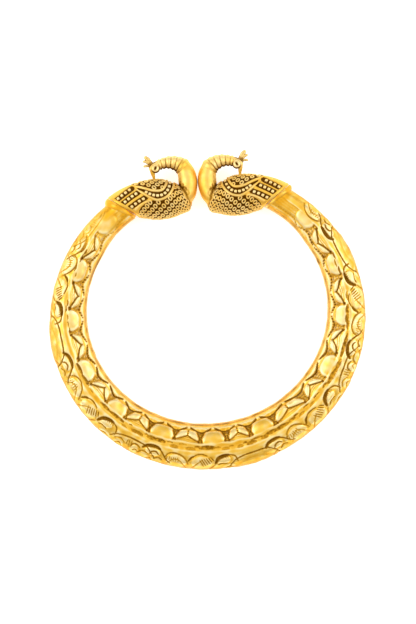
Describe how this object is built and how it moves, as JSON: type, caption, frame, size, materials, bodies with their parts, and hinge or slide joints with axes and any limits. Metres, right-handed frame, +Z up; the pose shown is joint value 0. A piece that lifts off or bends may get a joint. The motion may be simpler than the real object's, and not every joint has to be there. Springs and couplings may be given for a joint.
{
  "type": "kada bangle",
  "caption": "Stiff gold-coloured bangle with a hollow chased hoop that thickens towards the back, ending in peacocks with arched ribbed necks that meet at the front.",
  "frame": {"origin": "middle of the wrist hole, on the surface that the bangle lies on", "axes": "+Z up, along the wrist and through the hole; +Y from the hole's middle to the place where the two necks meet; +X to the right of that, towards the right-hand peacock"},
  "size_m": [0.0792, 0.0795, 0.01],
  "materials": {
    "chased_gold": "gold-plated sheet brass, chased and punched, polished high spots with brown antiquing in the recesses",
    "plain_gold": "gold-plated brass, smooth and polished",
    "antique_gold": "gold-plated cast brass, polished relief over a dark brown antiqued ground"
  },
  "bodies": {
    "root": {"hoop": "chased_gold", "collar_left": "plain_gold", "collar_right": "plain_gold", "peacock_left": "antique_gold", "peacock_right": "antique_gold"}
  },
  "joints": []
}
